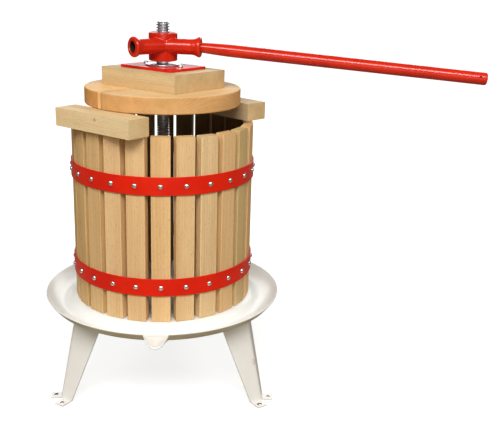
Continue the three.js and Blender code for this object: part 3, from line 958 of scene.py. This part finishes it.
def make_nut(node):
    z0, z1 = heights(node)
    corner = NUT_FLAT / math.cos(math.pi / 6)
    hexagon = [(corner * math.cos(math.pi / 3 * k), corner * math.sin(math.pi / 3 * k)) for k in range(6)]
    bm = prism(hexagon, z0, z1)
    reach = corner + 0.2
    round_off = lathe([(0, z0), (NUT_FLAT, z0), (reach, z0 + NUT_ROUND),
                       (reach, z1 - NUT_ROUND), (NUT_FLAT, z1), (0, z1)], 72)
    bm = combined(bm, [round_off], "INTERSECT")
    bm = combined(bm, [bore_tool(NUT_BORE, z0, z1, 3, 48)], "DIFFERENCE")
    make("hex_" + node, bm, ZINC, replaces=[node])


def make_ring(node, inner, outer, edge, body):
    z0, z1 = heights(node)
    section = eased([(inner, z0), (outer, z0), (outer, z1), (inner, z1)], edge, 3, True)
    make("ring_" + node, lathe(section, 96, closed=True), ZINC, body=body, replaces=[node])


# ---------- plate and bolts
PLATE_LENGTH, PLATE_WIDTH, PLATE_BORE = 104.0, 80.0, 11
BOLT_SPAN, BOLT_HEAD = 36.0, 3.6    # from the screw's axis to a bolt, and height of its head


def make_plate():
    z0, z1 = heights("pressure_plate")
    bm = prism(rectangle(PLATE_LENGTH, PLATE_WIDTH), z0, z1)
    bevel(bm, is_upright, 2.0, 4)
    bevel(bm, lambda e: sharp(e) and not is_upright(e), 0.6)
    bm = combined(bm, [rod(PLATE_BORE, z0 - CLEAR, z1 + CLEAR, 48)], "DIFFERENCE")
    make("plate", bm, RED, turn(STACK_YAW), replaces=["pressure_plate"])
    for node, x in (("plate_bolt_left", -BOLT_SPAN), ("plate_bolt_right", BOLT_SPAN)):
        top = heights(node)[1]
        head = top - BOLT_HEAD
        profile = [(0, head), (4.0, head), (4.0, head + 0.9), (3.7, head + 1.9), (3.0, head + 2.9),
                   (1.9, head + 3.45), (0, top)]
        make("head_" + node, lathe(eased(profile, 0.4, 2), 32), ZINC,
             turn(STACK_YAW) @ move(x, 0, 0), replaces=[node])


# ---------- hub
HUB_RADIUS, HUB_BORE = 22.0, 10.4
HUB_OFFSET = 12.0                # from the screw's axis to the point where the arms' axes meet
ARM_BELOW_SCREW = 35.0           # the arms' axes lie this far below the screw's top
ARM_REACH, ARM_RADIUS, ARM_BEAD = 56.0, 11.6, 15.5
ARM_BORE, ARM_MOUTH, ARM_BLIND = 8.2, 9.3, 24.5    # socket radius, its mouth's, and where it ends
ARM_YAWS = (216.0, -8.0)
LINING = 0.35                    # a face this close to a bore's wall belongs to it
VOXEL = 0.8


def arm_frames():
    """The two arms' own frames, with Z along the arm and the origin where their axes meet."""
    bisector = Vector((0, 0, 0))
    for yaw in ARM_YAWS:
        bisector += Vector((math.cos(math.radians(yaw)), math.sin(math.radians(yaw)), 0))
    root = bisector.normalized() * HUB_OFFSET
    z = heights("press_screw")[1] - ARM_BELOW_SCREW
    return [move(root.x, root.y, z) @ turn(yaw) @ LAY_ALONG_X for yaw in ARM_YAWS]


def socket_test():
    """A test for the faces that line the arms' sockets and the smooth bore for the screw, which get painted
    shade.
    """
    to_arms = [from_arm.inverted() for from_arm in arm_frames()]

    def inside(face):
        centre = face.calc_center_median()
        if centre.xy.length < HUB_BORE + LINING:
            return True
        for to_arm in to_arms:
            local = to_arm @ centre
            if ARM_BLIND - 1 < local.z < ARM_REACH - 1.5 and local.xy.length < ARM_BORE + LINING:
                return True
        return False
    return inside


def make_hub():
    """One casting: the boss and both arms melted together, then bored."""
    z0, z1 = heights("nut_hub")
    boss_end = HUB_RADIUS - 0.4
    boss_profile = [(0, z0), (boss_end, z0), (HUB_RADIUS, (z0 + z1) / 2), (boss_end, z1), (0, z1)]
    boss = lathe(eased(boss_profile, 1.4, 3), 96)
    reach = ARM_REACH
    arm_profile = [(0, -4), (ARM_RADIUS, -4), (ARM_RADIUS, reach - 14), (ARM_RADIUS + 1.0, reach - 9),
                   (ARM_BEAD - 1.0, reach - 5.6), (ARM_BEAD, reach - 3.4), (ARM_BEAD - 1.0, reach - 0.6),
                   (ARM_BEAD - 3.0, reach), (0, reach)]
    frames = arm_frames()
    arms = [moved(lathe(eased(arm_profile, 1.5, 3), 72), m) for m in frames]
    casting = bare_object(combined(boss, arms, "UNION"))
    remesh = casting.modifiers.new("voxels", "REMESH")
    remesh.mode = "VOXEL"
    remesh.voxel_size = VOXEL
    soften = casting.modifiers.new("soften", "SMOOTH")
    soften.factor = 0.5
    soften.iterations = 5
    settle(casting)
    socket = [(0, ARM_BLIND), (ARM_BORE, ARM_BLIND), (ARM_BORE, reach - 2.2), (ARM_BORE + 0.4, reach - 1.2),
              (ARM_MOUTH, reach + 0.3), (ARM_MOUTH, reach + 3), (0, reach + 3)]
    cutters = [moved(lathe(socket, 64), m) for m in frames]
    cutters.append(bore_tool(HUB_BORE, z0, z1, CLEAR, 64))
    bm = combined(reclaimed(casting), cutters, "DIFFERENCE")
    make("hub_casting", bm, CAST_RED_PAINTED_SHADE, body="hub", replaces=["nut_hub"], smooth=40,
         second=(BARE_IRON_AND_SHADE, socket_test()))


# ---------- lever
LEVER_RADIUS, LEVER_LENGTH, LEVER_INSERTED = 9.2, 451.0, 27.0
LEVER_DROOP, LEVER_SAG = 4.0, 0.5    # degrees and millimetres that the bar hangs in its socket
PIN_HOLE, PIN_FROM_END, PIN_TURN = 1.5, 11, 68    # small cross hole near the bar's free end


def make_lever():
    start, end = -LEVER_INSERTED, LEVER_LENGTH - LEVER_INSERTED
    profile = [(0, start), (5.6, start), (6.3, start + 1), (7.4, 0), (8.1, 14), (8.8, 30),
               (LEVER_RADIUS, 46), (LEVER_RADIUS, 200), (LEVER_RADIUS, end - 3),
               (LEVER_RADIUS - 0.6, end - 1), (LEVER_RADIUS - 2, end), (0, end)]
    bm = lathe(eased(profile, 1.2, 3), 64)
    arm = arm_frames()[1]
    tilt = Matrix.Rotation(math.radians(LEVER_DROOP), 4, "Y")
    mouth = arm @ Vector((0, 0, ARM_REACH))
    place = move(mouth.x, mouth.y, mouth.z - LEVER_SAG) @ turn(ARM_YAWS[1]) @ tilt @ LAY_ALONG_X
    through = move(0, 0, end - PIN_FROM_END) @ turn(PIN_TURN) @ LAY_ALONG_X
    bm = combined(bm, [moved(rod(PIN_HOLE, -12, 12, 20), through)], "DIFFERENCE")
    make("lever", bm, CAST_RED_PAINTED_SHADE, place, body="lever", replaces=["lever_bar"], smooth=40)


make_slats()
make_bands()
make_boards()
make_tray()
make_legs()
make_screw()
for nut in ("screw_upper_nut", "screw_lower_nut"):
    make_nut(nut)
for ring, sizes in RINGS.items():
    make_ring(ring, *sizes)
make_plate()
make_hub()
make_lever()


# ---------- floor, light and camera
# Places and sizes here are in metres.
FLOOR_RADIUS, FLOOR_DROP = 40, 0.0004
CAMERA_FROM_AXIS = (0.0761, -1.2197)
CAMERA_HEIGHT = 0.657
CAMERA_LENS = 56.52              # millimetres, on a sensor 36 wide
CAMERA_TURNS = (3.0, 16.87, 1.75)    # heading, pitch down and roll in degrees
AIM = (AXIS.x, AXIS.y, 0.33)     # all lamps point here
LAMPS = {                        # place, width and height, watts
    "key": ((-0.1, -2.2, 2.4), (2.0, 1.0), 72),
    "strip": ((-0.3, -1.7, 1.9), (1.8, 0.10), 7),
    "left": ((-2.1, -1.3, 1.9), (1.0, 1.0), 19),
    "right": ((1.9, -1.3, 1.9), (1.0, 1.0), 20),
    "low": ((0.0, -2.6, 0.5), (1.6, 0.6), 5),
    "back": ((0.2, 2.2, 1.25), (2.4, 0.7), 16),
}


def make_floor():
    """A pale floor. The camera sees it almost white, and the press gets a dimmer, warmer bounce."""
    bm = bmesh.new()
    bmesh.ops.create_circle(bm, cap_ends=True, segments=96, radius=FLOOR_RADIUS)
    mesh = bpy.data.meshes.new("floor")
    bm.to_mesh(mesh)
    bm.free()
    floor = bpy.data.objects.new("floor", mesh)
    floor.location.z = -FLOOR_DROP
    bpy.context.scene.collection.objects.link(floor)
    g = Graph("floor_white")
    seen = g.shader
    g.finish((0.36, 0.36, 0.355, 1), 0.9, Specular_IOR_Level=0.1, Emission_Color=(1, 1, 0.99, 1))
    away = g.vector("LENGTH", g.vector("SUBTRACT", g.position(), (AXIS.x, AXIS.y, 0)))
    # the floor glows, less near the press, so that shadows there stay faint but visible
    g.feed(seen.inputs["Emission Strength"], g.remap(away, 0.25, 1.0, 0.80, 1.05, smooth=True))
    bounce = g.node("ShaderNodeBsdfDiffuse")
    bounce.inputs["Color"].default_value = (0.31, 0.265, 0.19, 1)
    pick = g.node("ShaderNodeMixShader")
    g.feed(pick.inputs[0], g.node("ShaderNodeLightPath").outputs["Is Camera Ray"])
    g.feed(pick.inputs[1], bounce.outputs[0])
    g.feed(pick.inputs[2], seen.outputs[0])
    g.feed(g.tree.nodes["Material Output"].inputs["Surface"], pick.outputs[0])
    mesh.materials.append(g.material)


def softbox(name, location, size, power):
    light = bpy.data.lights.new(name, "AREA")
    light.shape = "RECTANGLE"
    light.size, light.size_y = size
    light.energy = power
    lamp = bpy.data.objects.new(name, light)
    lamp.location = location
    lamp.visible_camera = False
    lamp.rotation_mode = "QUATERNION"
    lamp.rotation_quaternion = (Vector(AIM) - Vector(location)).to_track_quat("-Z", "Y")
    bpy.context.scene.collection.objects.link(lamp)


def make_world():
    world = bpy.data.worlds.new("studio")
    bpy.context.scene.world = world
    world.use_nodes = True
    nodes, links = world.node_tree.nodes, world.node_tree.links
    nodes.clear()
    out = nodes.new("ShaderNodeOutputWorld")
    seen = nodes.new("ShaderNodeBackground")
    seen.inputs["Color"].default_value = (1, 1, 1, 1)
    lit = nodes.new("ShaderNodeBackground")
    lit.inputs["Color"].default_value = (0.95, 0.97, 1, 1)
    lit.inputs["Strength"].default_value = 0.10
    path = nodes.new("ShaderNodeLightPath")
    mix = nodes.new("ShaderNodeMixShader")
    links.new(path.outputs["Is Camera Ray"], mix.inputs[0])
    links.new(lit.outputs[0], mix.inputs[1])
    links.new(seen.outputs[0], mix.inputs[2])
    links.new(mix.outputs[0], out.inputs["Surface"])


def make_camera():
    heading, pitch, roll = (math.radians(a) for a in CAMERA_TURNS)
    forward = Vector((math.cos(pitch) * math.sin(heading), math.cos(pitch) * math.cos(heading),
                      -math.sin(pitch)))
    level = Vector((math.cos(heading), -math.sin(heading), 0))
    upright = level.cross(forward)
    right = level * math.cos(roll) + upright * math.sin(roll)
    up = upright * math.cos(roll) - level * math.sin(roll)
    data = bpy.data.cameras.new("camera")
    data.sensor_width = 36.0
    data.lens = CAMERA_LENS
    data.clip_start, data.clip_end = 0.05, 100
    camera = bpy.data.objects.new("camera", data)
    turn_to = Matrix((right, up, -forward)).transposed().to_4x4()
    dx, dy = CAMERA_FROM_AXIS
    camera.matrix_world = move(AXIS.x + dx, AXIS.y + dy, CAMERA_HEIGHT) @ turn_to
    bpy.context.scene.collection.objects.link(camera)
    bpy.context.scene.camera = camera


make_floor()
make_world()
make_camera()
for lamp_name, settings in LAMPS.items():
    softbox(lamp_name, *settings)
bpy.context.scene.view_settings.view_transform = "Standard"

bpy.context.view_layer.update()
